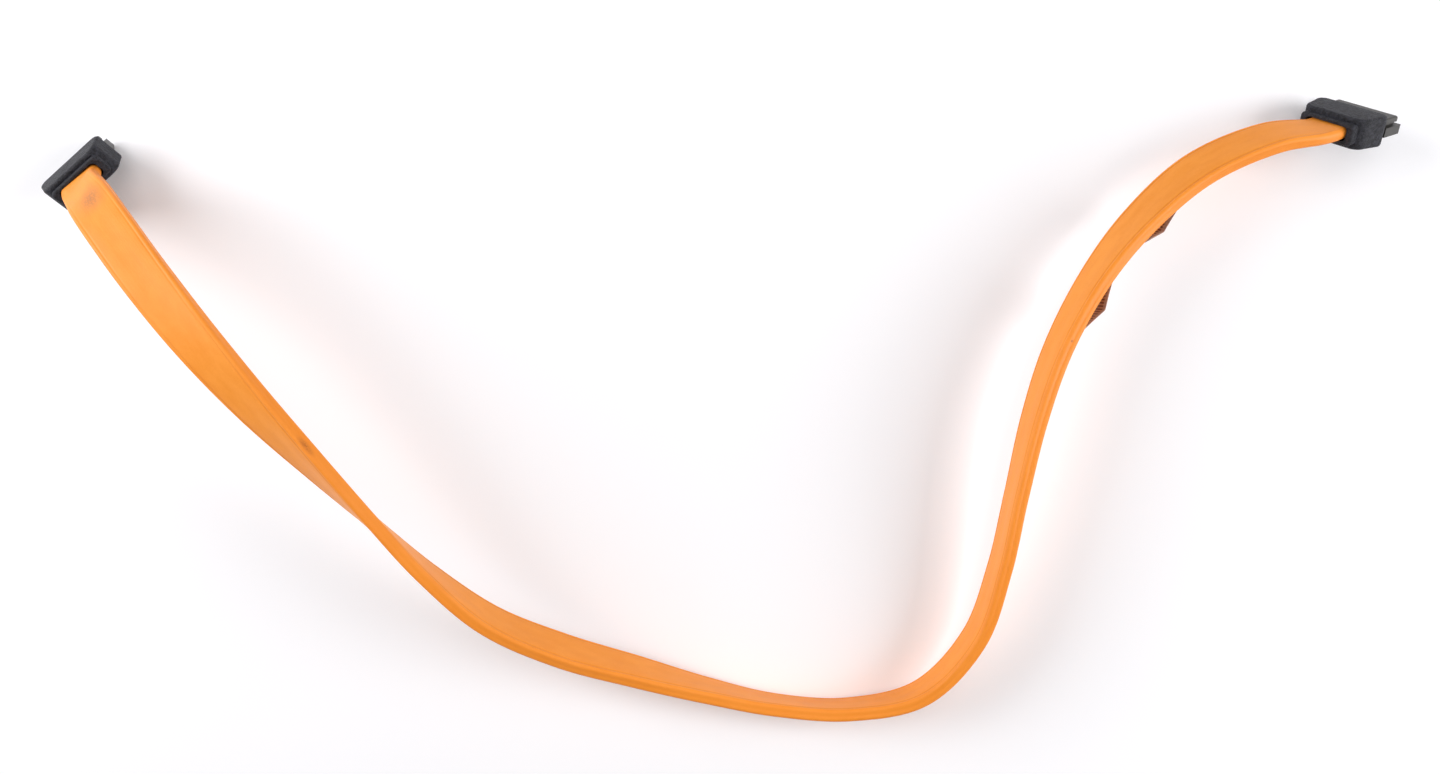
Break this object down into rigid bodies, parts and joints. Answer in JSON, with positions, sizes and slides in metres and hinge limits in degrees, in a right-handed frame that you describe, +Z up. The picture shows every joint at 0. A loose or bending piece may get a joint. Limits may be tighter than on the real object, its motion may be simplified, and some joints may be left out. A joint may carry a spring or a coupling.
{
  "type": "serial data cable",
  "caption": "Flat orange data cable with a half twist and a straight black plug at each end, each plug with an L-shaped slot and sprung contacts.",
  "frame": {"origin": "on the table, midway between the two plugs", "axes": "+X from the left plug to the right plug, +Y away from the cable's bend, +Z up from the table"},
  "size_m": [0.2574, 0.1194, 0.0277],
  "materials": {
    "orange_jacket": "satin",
    "black_overmould": "fine matte grain",
    "black_carrier": "matte",
    "gold_contact": "plated",
    "white_insulation": "smooth",
    "tinned_copper": "tinned",
    "brown_film": "printed film"
  },
  "bodies": {
    "root": {"cable_jacket": "orange_jacket", "signal_core_1": "white_insulation", "signal_core_2": "white_insulation", "signal_core_3": "white_insulation", "signal_core_4": "white_insulation", "drain_wire_1": "tinned_copper", "drain_wire_2": "tinned_copper", "cable_label": "brown_film", "left_plug_overmould": "black_overmould", "left_plug_contact_carrier": "black_carrier", "left_plug_contact_1": "gold_contact", "left_plug_contact_2": "gold_contact", "left_plug_contact_3": "gold_contact", "left_plug_contact_4": "gold_contact", "left_plug_contact_5": "gold_contact", "left_plug_contact_6": "gold_contact", "left_plug_contact_7": "gold_contact", "right_plug_overmould": "black_overmould", "right_plug_contact_carrier": "black_carrier", "right_plug_contact_1": "gold_contact", "right_plug_contact_2": "gold_contact", "right_plug_contact_3": "gold_contact", "right_plug_contact_4": "gold_contact", "right_plug_contact_5": "gold_contact", "right_plug_contact_6": "gold_contact", "right_plug_contact_7": "gold_contact"}
  },
  "joints": []
}
